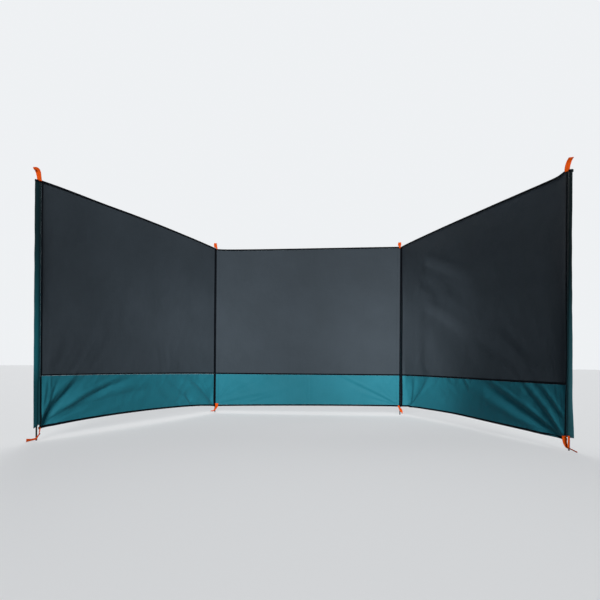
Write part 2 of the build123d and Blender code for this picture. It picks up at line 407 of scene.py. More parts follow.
# %% [markdown]
# ## How the cloth lies
#
# Taut cloth isn't flat.  It bellies between the poles, it has soft waves, it puckers along
# every row of stitches, and the band is drawn into creases that fan out from the foot of each
# pole, where the strap pulls.  Creases could be left to a cloth simulation, but a simulation
# puts them where it likes.  Here each one is laid one by one: a line over the cloth with a depth
# and a width, and `lie` adds up how far the cloth stands out at a point.
#
# A crease in stretched cloth is steep on one side and easy on the other, with a low ridge
# beyond the steep side.  The steep side is the dark line that the eye sees.

# %% Creases
CREASE_OVERRUN = 0.1
CREASE_FADE = 0.6
EASY_END = -6.0
STEEP_END = 5.0
EASY_WIDTH = 2.4
STEEP_WIDTH = 0.8
RIDGE_PLACE = 2.0
RIDGE_WIDTH = 0.9
RIDGE_SHARE = 0.55
FAN_CALM = 0.12


def wander(seed, u, v=0.0):
    """Smooth noise from about -1 to 1."""
    return noise.noise(Vector((u, v, seed)))


class Crease:
    """A crease from start to end on a bay, bowed sideways, steep on one side."""

    def __init__(self, start, end, bow, depth, width, steep=1, spread=1.8):
        self.start = Vector(start)
        self.run = Vector(end) - self.start
        self.side = Vector((-self.run.y, self.run.x)).normalized()
        self.bow = bow
        self.depth = depth
        self.width = width
        self.steep = steep
        self.spread = spread

    def lift(self, u, v):
        """How far the crease lifts the cloth at a point, below 0 in its valley."""
        offset = Vector((u, v)) - self.start
        share = offset.dot(self.run) / self.run.length_squared
        if not -CREASE_OVERRUN < share < 1 + CREASE_OVERRUN:
            return 0.0
        away = offset.dot(self.side) - self.bow * arch(share)
        across = self.steep * away / (self.width * mix(1.0, self.spread, clamp(share)))
        if not EASY_END < across < STEEP_END:
            return 0.0
        begun = ease((share + CREASE_OVERRUN) / (2 * CREASE_OVERRUN))
        strength = begun * ease((1 + CREASE_OVERRUN - share) / CREASE_FADE)
        valley = exp(-((across / (STEEP_WIDTH if across > 0 else EASY_WIDTH)) ** 2))
        ridge = RIDGE_SHARE * exp(-(((across - RIDGE_PLACE) / RIDGE_WIDTH) ** 2))
        return self.depth * strength * (ridge - valley)


class Swell:
    """A soft round bulge, or a hollow where its depth is below 0."""

    def __init__(self, centre, radii, depth):
        self.centre = Vector(centre)
        self.radii = radii
        self.depth = depth

    def lift(self, u, v):
        far_u, far_v = (u - self.centre.x) / self.radii[0], (v - self.centre.y) / self.radii[1]
        return self.depth * exp(-far_u * far_u - far_v * far_v)


class Fan:
    """Fine wrinkles that spread from a corner where a strap pulls."""

    def __init__(self, corner, depth, reach, spokes, seed):
        self.corner = Vector(corner)
        self.depth = depth
        self.reach = reach
        self.spokes = spokes
        self.seed = seed

    def lift(self, u, v):
        offset = Vector((u, v)) - self.corner
        distance = offset.length
        if distance > self.reach or distance < 0.001:
            return 0.0
        angle = atan2(offset.y, abs(offset.x)) * self.spokes
        ridge = 1 - 2 * abs(wander(self.seed, angle, distance * 2.0))
        fade = ease(distance / FAN_CALM) * (1 - ease(distance / self.reach))
        return self.depth * ridge * fade


left.creases = [
    Crease((0.030, 0.070), (0.320, 0.335), 0.026, 0.0130, 0.0160),
    Crease((0.045, 0.085), (0.300, 0.335), 0.012, 0.0080, 0.0230, -1),
    Crease((0.045, 0.074), (0.660, 0.312), 0.024, 0.0100, 0.0120),
    Crease((0.100, 0.100), (0.640, 0.322), 0.014, 0.0060, 0.0200, -1),
    Crease((0.090, 0.082), (0.400, 0.165), 0.008, 0.0050, 0.0120),
    Crease((0.180, 0.135), (0.860, 0.225), 0.018, 0.0060, 0.0140, 1, 2.2),
    Crease((0.030, 0.085), (0.066, 0.325), -0.008, 0.0045, 0.0080),
    Crease((0.042, 0.090), (0.120, 0.335), -0.006, 0.0070, 0.0095),
    Crease((0.080, 0.270), (0.082, 0.350), 0.000, 0.0030, 0.0050),
    Crease((1.490, 0.082), (1.400, 0.165), -0.004, 0.0060, 0.0180),
    Crease((1.470, 0.078), (1.200, 0.310), -0.010, 0.0130, 0.0260),
    Crease((1.190, 0.108), (1.130, 0.190), 0.000, 0.0080, 0.0110),
    Crease((1.225, 0.105), (0.900, 0.310), -0.008, 0.0075, 0.0200),
    Crease((1.330, 0.220), (1.020, 0.335), -0.004, 0.0070, 0.0180),
    Crease((1.060, 0.110), (0.780, 0.220), -0.004, 0.0045, 0.0180),
    Crease((0.100, 0.360), (0.230, 0.530), 0.008, 0.0018, 0.0230),
    Crease((0.330, 0.370), (0.480, 0.580), 0.006, 0.0020, 0.0260),
    Crease((0.610, 0.640), (0.770, 0.870), 0.004, -0.0022, 0.0320),
    Crease((0.875, 0.345), (0.890, 0.610), 0.003, 0.0018, 0.0170),
    Crease((0.955, 0.345), (0.970, 0.580), 0.000, -0.0018, 0.0150),
    Crease((1.060, 0.345), (1.120, 0.540), 0.004, 0.0016, 0.0180),
]
middle.creases = [
    Crease((1.455, 0.085), (0.950, 0.322), -0.006, 0.0040, 0.0080, -1),
    Crease((1.440, 0.075), (1.180, 0.150), -0.004, 0.0020, 0.0090, -1),
    Crease((0.779, 0.080), (0.780, 0.330), 0.001, 0.0020, 0.0070, 1, 1.1),
    Crease((0.030, 0.080), (0.250, 0.310), 0.012, 0.0035, 0.0110),
    Crease((0.040, 0.070), (0.620, 0.170), 0.006, 0.0024, 0.0110),
    Crease((0.300, 0.085), (0.520, 0.140), 0.002, 0.0022, 0.0080),
    Crease((0.100, 0.130), (0.460, 0.300), 0.006, 0.0022, 0.0120),
    Crease((1.000, 0.325), (1.100, 0.560), 0.004, 0.0012, 0.0200),
]
right.creases = [
    Crease((1.456, 0.062), (1.170, 0.316), -0.008, 0.0085, 0.0100, -1),
    Crease((1.445, 0.054), (0.830, 0.316), -0.008, 0.0100, 0.0120, -1),
    Crease((1.360, 0.095), (0.800, 0.320), -0.004, 0.0070, 0.0200, 1),
    Crease((1.458, 0.150), (1.275, 0.316), -0.006, 0.0060, 0.0090, -1),
    Crease((0.050, 0.085), (0.125, 0.335), 0.002, 0.0110, 0.0110, -1),
    Crease((0.060, 0.078), (0.310, 0.345), 0.006, 0.0300, 0.0200, -1),
    Crease((0.130, 0.085), (0.420, 0.310), 0.010, 0.0070, 0.0150, -1),
    Crease((0.674, 0.316), (0.735, 0.225), 0.004, 0.0060, 0.0100, 1),
    Crease((0.500, 0.320), (0.560, 0.250), 0.002, 0.0040, 0.0100, 1),
    Crease((0.300, 0.345), (0.310, 0.700), 0.004, -0.0060, 0.0400, 1, 1.2),
    Crease((0.300, 1.120), (0.740, 0.900), 0.010, -0.0070, 0.0360, 1, 1.2),
    Crease((0.280, 0.790), (0.740, 0.545), 0.010, -0.0080, 0.0360, 1, 1.2),
    Crease((0.200, 0.980), (0.460, 0.820), 0.006, 0.0050, 0.0360, 1, 1.2),
    Crease((0.480, 0.900), (0.840, 0.640), 0.006, 0.0026, 0.0360, 1, 1.4),
    Crease((1.000, 0.600), (1.360, 0.350), -0.012, 0.0018, 0.0260, 1, 1.2),
    Crease((0.800, 0.530), (1.180, 0.345), -0.008, 0.0014, 0.0260, 1, 1.2),
]
left.swells = [Swell((0.84, 0.39), (0.34, 0.24), 0.032), Swell((0.40, 1.14), (0.26, 0.32), -0.026)]
middle.swells = []
right.swells = [
    Swell((0.56, 0.17), (0.32, 0.26), -0.038),
    Swell((0.00, 0.16), (0.26, 0.18), -0.026),
    Swell((1.36, 0.44), (0.26, 0.20), -0.012),
]
left.fans = [Fan((0.020, 0.050), 0.0022, 1.1, 8.0, 2.3), Fan((1.500, 0.055), 0.0018, 0.8, 5.0, 8.9)]
middle.fans = [Fan((0.0, 0.055), 0.0012, 0.9, 5.0, 4.4), Fan((1.5, 0.065), 0.0012, 0.9, 5.0, 6.1)]
right.fans = [Fan((1.480, 0.050), 0.0020, 1.1, 8.0, 5.7), Fan((0.000, 0.060), 0.0030, 0.8, 6.0, 7.2)]
print("creases laid by hand", sum(len(bay.creases) for bay in bays))

# %% [markdown]
# The belly is given at three heights, at the top, in the middle and at the hem, because the
# edges are held by their binding and the middle of the cloth isn't.  Each has a depth and a
# lean.  The middle bay fills towards the front, while the middle of an outer bay is blown
# back, most of all towards its fold.  Noise from mathutils gives the waves: it is smooth, and
# it comes out the same at every run.

# %% The lie of the cloth
left.belly = {"top": (0.006, 0.75), "mid": (-0.020, 2.0), "hem": (0.006, 1.0)}
middle.belly = {"top": (0.008, 1.0), "mid": (0.010, 1.0), "hem": (0.008, 1.0)}
right.belly = {"top": (0.000, 1.4), "mid": (-0.028, 0.55), "hem": (-0.020, 0.6)}
TOP_BELLY_FROM = 0.75
HEM_BELLY_TO = 0.50
WAVE_DEPTH = 0.0035
RIPPLE_DEPTH = 0.0009
PUCKER_DEPTH = 0.0007
PUCKER_PITCH = 0.021
PUCKER_REACH = 0.016
GATHER_DEPTH = 0.0005
GATHER_PITCH = 0.018
GATHER_REACH = 0.07
ROW_FROM_EDGE = 0.012
TUCK_DEPTH = 0.020
TUCK_REACH = 0.05
TUCK_RECOVERY = 1.0
TUCK_FROM = 0.45
TUCK_RISE = 0.4
TUCK_AT_TOP = 0.5
TUCK_FROM_FOLD = 0.9
SLACK_DEPTH = 0.018
SLACK_REACH = 0.4
SLEEVE_FLAP = 0.024
PANEL_CRINKLE = 0.0005
BAND_CRINKLE = 0.0017
HELD_WIDTH = 0.04
EDGE_CALM = 0.35
EDGE_REACH = 0.2
seeds = {"left": 3.1, "middle": 17.7, "right": 41.9}


def belly_at(bay, u, v):
    share = u / bay.length
    bow = {key: depth * arch(share, lean) for key, (depth, lean) in bay.belly.items()}
    near_top = ease((v - TOP_BELLY_FROM) / (top_height - TOP_BELLY_FROM))
    near_hem = ease((HEM_BELLY_TO - v) / (HEM_BELLY_TO - hem_height))
    return bow["top"] * near_top + bow["hem"] * near_hem + bow["mid"] * (1 - near_top - near_hem)


def tuck_at(bay, u, v):
    """Beside an end sleeve the upper cloth falls back, quickly at first and then slowly."""
    if bay is middle:
        return 0.0
    beside = max(0.0, (u if bay is left else bay.length - u) - SLEEVE_FLAP)
    quick = TUCK_DEPTH * (1 - exp(-beside / TUCK_REACH)) * exp(-beside / TUCK_RECOVERY)
    slow = SLACK_DEPTH * (1 - exp(-beside / SLACK_REACH))
    under_top = mix(TUCK_AT_TOP, 1.0, ease((top_height - v) / TUCK_RISE))
    over_band = ease((v - TUCK_FROM) / TUCK_RISE)
    before_fold = ease((bay.length - beside) / TUCK_FROM_FOLD)
    return -(quick + slow) * under_top * over_band * before_fold


def puckers_at(bay, u, v):
    """Small gathers that rows of stitches leave along the seam and both edges."""
    seed = seeds[bay.name]
    gather = wander(seed, u / PUCKER_PITCH) + 0.5 * sin(tau * u / (PUCKER_PITCH * 1.7))
    seam = seam_at(bay, u)
    lift = 0.0
    for line in (seam, hem_at(bay, u) + ROW_FROM_EDGE, top_at(bay, u) - ROW_FROM_EDGE):
        lift += exp(-(((v - line) / PUCKER_REACH) ** 2))
    over_seam = max(0.0, v - seam)
    tall = wander(seed + 3, u / GATHER_PITCH, v * 3) * exp(-((over_seam / GATHER_REACH) ** 2))
    return PUCKER_DEPTH * gather * lift + GATHER_DEPTH * tall * ease(over_seam / 0.01)


def crinkles_at(bay, u, v):
    """Sharp little wrinkles that cross each other, deeper in the band than in the panel."""
    seed = seeds[bay.name]
    in_band = BAND_CRINKLE * (0.5 if bay is middle else 1.0)
    depth = mix(PANEL_CRINKLE, in_band, ease((seam_at(bay, u) + 0.01 - v) / 0.02))
    rising = 1 - 2 * abs(wander(seed + 7, u * 9 + v * 7, v * 5 - u * 1.5))
    falling = 1 - 2 * abs(wander(seed + 9, u * 12 - v * 9, v * 6 + u * 2))
    return depth * (rising + falling)


def lie(bay, u, v):
    """How far the middle of the cloth stands in front of the plane of its poles."""
    seed = seeds[bay.name]
    held = ease(u / HELD_WIDTH) * ease((bay.length - u) / HELD_WIDTH)
    edge = mix(EDGE_CALM, 1.0, ease(min(v - hem_height, top_height - v) / EDGE_REACH))
    wave = WAVE_DEPTH * wander(seed, u * 2.3, v * 1.9) + 0.5 * WAVE_DEPTH * wander(seed, u * 5.1, v * 4.3)
    ripple = RIPPLE_DEPTH * wander(seed, u * 16, v * 11)
    drawn = sum(mark.lift(u, v) for mark in bay.creases + bay.swells + bay.fans)
    fine = puckers_at(bay, u, v) + edge * crinkles_at(bay, u, v)
    return belly_at(bay, u, v) + tuck_at(bay, u, v) + held * (edge * (wave + ripple) + drawn + fine)


# %% [markdown]
# ## Patterns
#
# `pattern` cuts a flat grid with a bmesh operator and writes its own measure in metres into
# its UV map, so a weave drawn on that map has the same thread everywhere.  `sew` moves the
# grid's points to their place, gives the piece its thickness with Solidify, a finish and a
# body to move with.  A piece of several patches is joined first and then kept the same way.

# %% Patterns
CLOTH_THICKNESS = 0.001
TAPE_THICKNESS = 0.0009


def pattern(length, height, step_along, step_up):
    """A flat grid with its corners at 0 and 1 and its real measure in its UV map."""
    bm = bmesh.new()
    columns = max(1, round(length / step_along))
    rows = max(1, round(height / step_up))
    bmesh.ops.create_grid(bm, x_segments=columns, y_segments=rows, size=0.5)
    bmesh.ops.translate(bm, verts=bm.verts, vec=(0.5, 0.5, 0))
    measure = bm.loops.layers.uv.new(PATTERN_MAP)
    for face in bm.faces:
        for corner in face.loops:
            corner[measure].uv = (corner.vert.co.x * length, corner.vert.co.y * height)
    return bm


def keep(name, bm, body, finish):
    """Turns a bmesh into a smooth piece that moves with a body."""
    mesh = bpy.data.meshes.new(name)
    bm.to_mesh(mesh)
    bm.free()
    mesh.shade_smooth()
    mesh.materials.append(finishes[finish].material)
    piece = bpy.data.objects.new(name, mesh)
    scene.collection.objects.link(piece)
    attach(piece, body)
    return piece


def thicken(piece, thickness):
    """Gives a flat piece a thickness, half of it on each side."""
    wall = piece.modifiers.new("thickness", "SOLIDIFY")
    wall.thickness = thickness
    wall.offset = 0.0
    wall.use_even_offset = False
    return piece


def sew(name, bm, place, body, finish, thickness, merge=False):
    """Hangs a pattern: place turns a share along and a share up into a point."""
    for vert in bm.verts:
        vert.co = place(vert.co.x, vert.co.y)
    if merge:
        bmesh.ops.remove_doubles(bm, verts=bm.verts, dist=1e-5)
    return thicken(keep(name, bm, body, finish), thickness)


# %% [markdown]
# ## Cloth finishes
#
# The cloth is a plain weave of fine polyester with a coat on the back.  Close to, one sees
# threads crossing at a little over a millimetre, and rows where a thread is thicker than its
# neighbours.  From further off it is slightly cloudy, and crinkled at the scale of a thumb.
# Sines of the pattern's own measure make the threads and noise makes the rest, so no image of
# the cloth is needed.  The sleeves are the band's cloth in a darker colour, with painted shade:
# they grow darker with height, and most of them a little darker at the foot too.

# %% Cloth finishes
WEAVE_PITCH = 0.0013
WEFT = (7.0, 420.0, 1.0)
WARP = (420.0, 7.0, 1.0)
CLOUD_SCALE = 3.2
CRINKLE_SCALE = 34.0


def cloth_finish(name, low, high, roughness, gloss, painted_shades=()):
    """Plain-woven coated cloth.

    Each painted shade is a height where it starts, one where it is full, and the share of low
    that the colour comes down to there.
    """
    made = Finish(name, Specular_IOR_Level=gloss, Sheen_Weight=0.02, Sheen_Roughness=0.5)
    spot, along, across = made.on_pattern()
    threads = (along * (tau / WEAVE_PITCH)).sine() * (across * (tau / WEAVE_PITCH)).sine()
    rows = made.cloudy(spot, 1.0, 2.0, WEFT)
    columns = made.cloudy(spot, 1.0, 2.0, WARP)
    clouds = made.cloudy(spot, CLOUD_SCALE, 4.0)
    crinkle = made.cloudy(spot, CRINKLE_SCALE)
    slubs = rows * 0.5 + columns * 0.5
    drift = clouds.between(0.25, 0.75) * 0.6 + slubs.between(0.3, 0.7) * 0.3 + threads * 0.08
    colour = made.tint(drift + 0.05, low, high)
    # Painted shade: each shade darkens the colour between two heights.
    for start, full, share in painted_shades:
        colour = made.tint(across.between(start, full), colour, [channel * share for channel in low])
    made.feed("Base Color", colour)
    made.feed("Roughness", roughness + clouds * 0.12 - slubs * 0.05)
    made.bump(threads * 0.25 + slubs * 0.9 + crinkle * 2.2, 0.5, 0.0007)


cloth_finish(
    "panel_cloth", (0.041, 0.0535, 0.0645), (0.0528, 0.068, 0.0825), roughness=0.62, gloss=0.1
)
cloth_finish(
    "band_cloth", (0.016, 0.170, 0.222), (0.023, 0.212, 0.278), roughness=0.55, gloss=0.12
)
# The sleeve cloth carries painted shade: darker with height, and darker again at the foot.
cloth_finish(
    "sleeve_cloth", (0.0045, 0.084, 0.105), (0.0075, 0.115, 0.142), roughness=0.55, gloss=0.10,
    painted_shades=[(0.30, 1.05, 0.17), (0.34, 0.20, 0.55)],
)
# The right end sleeve's copy of the cloth is lighter low down, which is painted light, and darkens hard
# with height, which is painted shade.
cloth_finish(
    "right_sleeve_cloth", (0.026, 0.108, 0.130), (0.036, 0.144, 0.171), roughness=0.55, gloss=0.06,
    painted_shades=[(0.08, 0.90, 0.07)],
)

# %% [markdown]
# ## Tape, webbing and thread
#
# Binding tape is a fine ribbed ribbon, near black.  Webbing is much coarser: its weft makes a
# rib across it a little under every two millimetres, in two columns that lean opposite ways.
# It is rubbed a little grey in patches.  Thread, pale or dark, needs only a fine noise for
# its twist.

# %% Tape and webbing
TAPE_RIB_PITCH = 0.0012
RIB_PITCH = 0.0018
RIB_LEAN = 0.0004
YARN_PITCH = 0.0021
WEBBING_WIDTH = 0.025


def tape_finish():
    made = Finish("binding_tape", Specular_IOR_Level=0.06)
    spot, along, _ = made.on_pattern()
    ribs = (along * (tau / TAPE_RIB_PITCH)).sine()
    lint = made.cloudy(spot, 90.0)
    wear = made.cloudy(spot, 12.0, 4.0).between(0.45, 0.8)
    colour = made.tint(wear * 0.5 + lint * 0.3, (0.0015, 0.0025, 0.0045), (0.0045, 0.0075, 0.0120))
    made.feed("Base Color", colour)
    made.feed("Roughness", 0.62 + lint * 0.15)
    made.bump(ribs * 0.4 + lint, 0.4, 0.0004)


def webbing_finish():
    made = Finish("orange_webbing", Specular_IOR_Level=0.12, Sheen_Weight=0.02)
    spot, across, along = made.on_pattern()
    columns = (across * (tau / WEBBING_WIDTH)).sine()
    ribs = ((along + columns * RIB_LEAN) * (tau / RIB_PITCH)).sine()
    yarns = (across * (tau / YARN_PITCH)).sine()
    fuzz = made.cloudy(spot, 160.0)
    grey = made.cloudy(spot, 30.0, 4.0).between(0.5, 0.85) * 0.4
    shade = ribs * 0.18 + yarns * 0.10 + fuzz * 0.5 + 0.35 - grey
    made.feed("Base Color", made.tint(shade, (0.90, 0.080, 0.002), (1.00, 0.135, 0.003)))
    made.feed("Roughness", 0.58 + fuzz * 0.15)
    made.bump(ribs * 0.8 + yarns * 0.5 + fuzz * 0.4, 0.6, 0.0006)


def thread_finish(name, low, high):
    made = Finish(name, Specular_IOR_Level=0.2)
    twist = made.cloudy(made.on_piece(), 900.0, 1.0)
    made.feed("Base Color", made.tint(twist, low, high))
    made.feed("Roughness", 0.5 + twist * 0.2)


tape_finish()
webbing_finish()
thread_finish("pale_thread", (0.26, 0.33, 0.37), (0.42, 0.51, 0.56))
thread_finish("dark_thread", (0.003, 0.004, 0.006), (0.008, 0.010, 0.013))
print("finishes", sorted(finishes))

# %% [markdown]
# ## The panels and the bands
#
# Each bay is two cuts of cloth, joined at the seam.  Both hang by the same `lie`, so the
# creases run on across the seam as they do on sewn cloth.  The band gets a finer grid than the
# panel, because its creases are sharper.

# %% Panels and bands
SLEEVE_HALF = 0.017
UNDER_SLEEVE = 0.003
FOLD_EDGE = 0.0027
PIPING_EDGE = 0.0015
left.reach = (SLEEVE_HALF - UNDER_SLEEVE, left.length - FOLD_EDGE)
middle.reach = (PIPING_EDGE, middle.length - PIPING_EDGE)
right.reach = (FOLD_EDGE, right.length - SLEEVE_HALF + UNDER_SLEEVE)
PANEL_STEP = 0.009
BAND_STEP = 0.0045
EDGE_GAP = 0.0016


def beside(line, offset):
    """A line of the cloth moved up or down."""
    return lambda bay, u: line(bay, u) + offset


def hang_cloth(bay, part, lower, upper, step):
    """Cuts a panel or band between two lines and hangs it on its bay."""
    start, end = bay.reach
    middle_u = bay.length / 2
    length = end - start
    height = upper(bay, middle_u) - lower(bay, middle_u)

    def place(s, t):
        u = mix(start, end, s)
        v = mix(lower(bay, u), upper(bay, u), t)
        return bay.place(u, v, lie(bay, u, v))

    name = f"{bay.name}_{part}"
    bm = pattern(length, height, step, step)
    piece = sew(f"{name}_cloth", bm, place, bay.body, f"{part}_cloth", CLOTH_THICKNESS)
    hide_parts(name)


for bay in bays:
    hang_cloth(bay, "panel", seam_at, beside(top_at, -EDGE_GAP), PANEL_STEP)
    hang_cloth(bay, "band", beside(hem_at, EDGE_GAP), seam_at, BAND_STEP)
print("panels and bands hung on", [bay.name for bay in bays])

# %% [markdown]
# ## Tapes on the face of the cloth
#
# Flat tapes cover the seam, run up beside each end sleeve, and edge the fold.  Below the seam an
# end tape goes on only as a narrow black strip, which is painted shadow of the seam beside the
# sleeve.  A tape follows the cloth under it, half a cloth and half a tape further out.  The seam
# gets a second tape on the back, where the real one hides the raw edges.

# %% Flat tapes
FACE = (CLOTH_THICKNESS + TAPE_THICKNESS) / 2
SEAM_TAPE_HALF = 0.0055
SEAM_TAPE_DRAWN_IN = 0.0025
SEAM_TAPE_END = 0.0085
END_TAPE_WIDTH = 0.008
# The end tape's narrow strip below the seam is painted shadow of the seam beside the sleeve.
SEAM_SHADOW_STRIP_WIDTH = 0.004
FOLD_TAPE = (0.004, 0.0145)
TAPE_STEP = 0.008
TAPE_LAP = 0.001
TURNED_UNDER = 0.004
BINDING_LEG = 0.0105


def seam_half(bay, u):
    """Half the seam tape's width.  On the left bay the panel puffs over it near the outer pole."""
    drawn_in = SEAM_TAPE_DRAWN_IN * (1 - ease(u / bay.length)) if bay is left else 0.0
    return SEAM_TAPE_HALF - drawn_in


def along_seam(side, offset=0.0):
    """A line beside the upper (1) or lower (-1) edge of the seam tape."""
    return lambda bay, u: seam_at(bay, u) + side * (seam_half(bay, u) + offset)


def tape_patch(bay, start, end, low, high, lift=FACE):
    """A tape between two lines, lifted off the middle of a bay's cloth (below 0: on its back)."""
    along_it = max(end - start, 0.001)
    height = high(bay, (start + end) / 2) - low(bay, (start + end) / 2)
    bm = pattern(along_it, height, min(TAPE_STEP, along_it / 3), min(TAPE_STEP, height / 3))
    for vert in bm.verts:
        u = mix(start, end, vert.co.x)
        v = mix(low(bay, u), high(bay, u), vert.co.y)
        vert.co = bay.place(u, v, lie(bay, u, v) + lift)
    if lift < 0:
        bmesh.ops.reverse_faces(bm, faces=bm.faces)
    return bm, along_it, height


def joined(*parts):
    """Several bmeshes as one."""
    whole = bmesh.new()
    for part in parts:
        carrier = bpy.data.meshes.new("carrier")
        part.to_mesh(carrier)
        part.free()
        whole.from_mesh(carrier)
        bpy.data.meshes.remove(carrier)
    return whole


def tape_piece(name, bay, patches):
    """Patches of tape as one piece.  Its flat size, with the long edges turned under, is worked out and not
    used.
    """
    bms, lengths, heights = zip(*patches)
    piece = keep(f"{name}_cloth", joined(*bms), bay.body, "binding_tape")
    thicken(piece, TAPE_THICKNESS)
    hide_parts(name)
    flat = (round(max(lengths) + TURNED_UNDER, 4), round(sum(heights) + TURNED_UNDER, 4))
    shown = sum(length * height for _, length, height in patches)


for bay in bays:
    start = bay.reach[0] + (END_TAPE_WIDTH + UNDER_SLEEVE if bay is left else SEAM_TAPE_END)
    end = bay.reach[1] - (END_TAPE_WIDTH + UNDER_SLEEVE if bay is right else SEAM_TAPE_END)
    patches = [tape_patch(bay, start, end, along_seam(-1), along_seam(1), lift) for lift in (FACE, -FACE)]
    tape_piece(f"{bay.name}_seam_tape", bay, patches)

tape_low = beside(hem_at, BINDING_LEG - TAPE_LAP)
tape_high = beside(top_at, TAPE_LAP - BINDING_LEG)
upright_tapes = {
    "left_end_tape": (left, SLEEVE_HALF, SLEEVE_HALF + END_TAPE_WIDTH),
    "left_fold_tape": (left, left.length - FOLD_TAPE[1], left.length - FOLD_TAPE[0]),
    "right_fold_tape": (right, *FOLD_TAPE),
    "right_end_tape": (right, right.length - SLEEVE_HALF - END_TAPE_WIDTH, right.length - SLEEVE_HALF),
}
for name, (bay, start, end) in upright_tapes.items():
    if "fold" in name:
        patches = [tape_patch(bay, start, end, tape_low, tape_high)]
    else:
        lift = FACE + CLOTH_THICKNESS
        patches = [tape_patch(bay, start, end, seam_at, tape_high, lift)]
        # Below the seam only a narrow black strip: painted shadow of the seam beside the sleeve.
        inner = (start, start + SEAM_SHADOW_STRIP_WIDTH) if bay is left else (end - SEAM_SHADOW_STRIP_WIDTH, end)
        patches.append(tape_patch(bay, *inner, tape_low, seam_at, lift))
    tape_piece(name, bay, patches)
print("tapes", len(bays) + len(upright_tapes))

# %% [markdown]
# ## The end sleeves
#
# Each outer pole slides into a flat sleeve of cloth.  Laid empty, the sleeve would be a plain
# folded strip.  With the pole in it, it swells to a soft ridge over the pole and stays creased
# at its outer edge.  It is one strip: from the stitches on the front, round the outer edge, and
# back to the stitches on the back.  It is wrinkled most near the foot, and on the left bay a
# groove and a roll run up beside the pole as high as the band.

# %% End sleeves
SLEEVE_DEPTH = 0.0068
POLE_SOFTNESS = 1.6
SLEEVE_SLACK = 0.22
SLACK_FROM_EDGE = 0.006
FOOT_REACH = 0.07
FOOT_FOLDS_TOP = 0.34
left.foot_wrinkles = 1.3
right.foot_wrinkles = 3.0
left.foot_folds = [(0.0055, 0.0022, -0.0030), (0.0125, 0.0032, 0.0045)]
right.foot_folds = []


def outer_half(bay, v):
    """How far an end sleeve reaches past its pole: the right one is pulled in at its top."""
    if bay is left:
        return SLEEVE_HALF - 0.0015 * ease((0.3 - v) / 0.2)
    return 0.0077 + 0.0083 * ease((1.05 - v) / 0.75) + 0.0095 * ease((0.27 - v) / 0.2)


def sleeve_depth(x, outer=SLEEVE_HALF):
    """Half the depth of an end sleeve, x from its pole (positive towards the bay)."""
    half = SLEEVE_HALF if x > 0 else outer
    swell = SLEEVE_DEPTH * (1 - (min(abs(x), half) / half) ** POLE_SOFTNESS)
    return max(swell, CLOTH_THICKNESS if x > 0 else 0.0)


def end_sleeve(bay, pole_u, inward, lifted, finish):
    """The sleeve round an outer pole.

    inward is 1 where the bay starts at the pole and -1 where it ends there.  lifted is how far
    the sleeve's lower edge rises towards the bay.
    """
    seed = seeds[bay.name] + 5

    def place(s, t):
        around = abs(2 * s - 1)
        side = 1 if s < 0.5 else -1
        outer = outer_half(bay, mix(hem_height, top_height, t))
        x = mix(-outer, SLEEVE_FLAP, around)
        bottom = hem_height + 0.003 + lifted * ease((x + SLEEVE_HALF) / 0.022)
        top = top_at(bay, clamp((pole_u + inward * x) / bay.length) * bay.length)
        v = mix(bottom, top - EDGE_GAP, t)
        low = exp(-(v - hem_height) / FOOT_REACH)
        fine = (0.3 + bay.foot_wrinkles * low) * wander(seed, side * 3 + x * 30, v * 55)
        slack = 0.35 * wander(seed, x * 25 + side, v * 5) + fine
        slack *= SLEEVE_SLACK * clamp((outer - abs(x)) / SLACK_FROM_EDGE)
        depth = sleeve_depth(x, outer) * (1 + slack)
        drawn = ease((FOOT_FOLDS_TOP - v) / 0.05)
        for fold_x, fold_width, fold_depth in bay.foot_folds:
            depth += drawn * fold_depth * exp(-(((x - fold_x) / fold_width) ** 2))
        edge = 1 - around
        x += edge * (0.0008 * wander(seed, v * 9) + 0.0014 * low * wander(seed, v * 45))
        u = pole_u + inward * x
        lean = 0.0015 * edge * wander(seed, v * 14) + clamp((x - 0.010) / 0.007) * lie(bay, u, v)
        return bay.place(u, v, side * depth + lean)

    height = top_height - EDGE_GAP - hem_height
    girth = 2 * (SLEEVE_HALF + SLEEVE_FLAP)
    bm = pattern(girth, height, step_along=0.0018, step_up=0.006)
    if inward < 0:
        bmesh.ops.reverse_faces(bm, faces=bm.faces)
    name = f"{bay.name}_end_sleeve"
    piece = sew(f"{name}_cloth", bm, place, bay.body, finish, CLOTH_THICKNESS)
    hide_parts(name)


# The sleeves' finishes carry painted shade by height, and the right one is a lighter copy with painted
# light at its foot.
end_sleeve(left, pole_u=0.0, inward=1, lifted=0.016, finish="sleeve_cloth")
end_sleeve(right, pole_u=right.length, inward=-1, lifted=0.001, finish="right_sleeve_cloth")
print("end sleeves, flat width", round(SLEEVE_HALF + SLEEVE_FLAP, 3))

# %% [markdown]
# ## Bindings
#
# The top and bottom edges are bound: a tape is folded over the raw edge and sewn through.  Its
# section is a U, upside down on the top edge.  The pattern's second direction runs round that
# U: along the front, over the edge, and back behind.  At the top of an outer bay the U opens to
# go round the sleeve too.

# %% Bindings
BINDING_HALF = FACE + 0.0003
BINDING_WAVER = 0.0006
SLEEVE_CLEARANCE = 0.0004
RIGHT_OVERHANG = 0.008
HEM_UNDER_SLEEVE = 0.006


def round_edge(t):
    """A point of the U: its reach from the edge, and its share of the U's half thickness."""
    turn_length = pi * BINDING_HALF
    run = t * (2 * BINDING_LEG + turn_length)
    if run < BINDING_LEG:
        return BINDING_LEG - run, 1.0
    if run > BINDING_LEG + turn_length:
        return run - BINDING_LEG - turn_length, -1.0
    turn = pi * (run - BINDING_LEG) / turn_length
    return -BINDING_HALF * sin(turn), cos(turn)


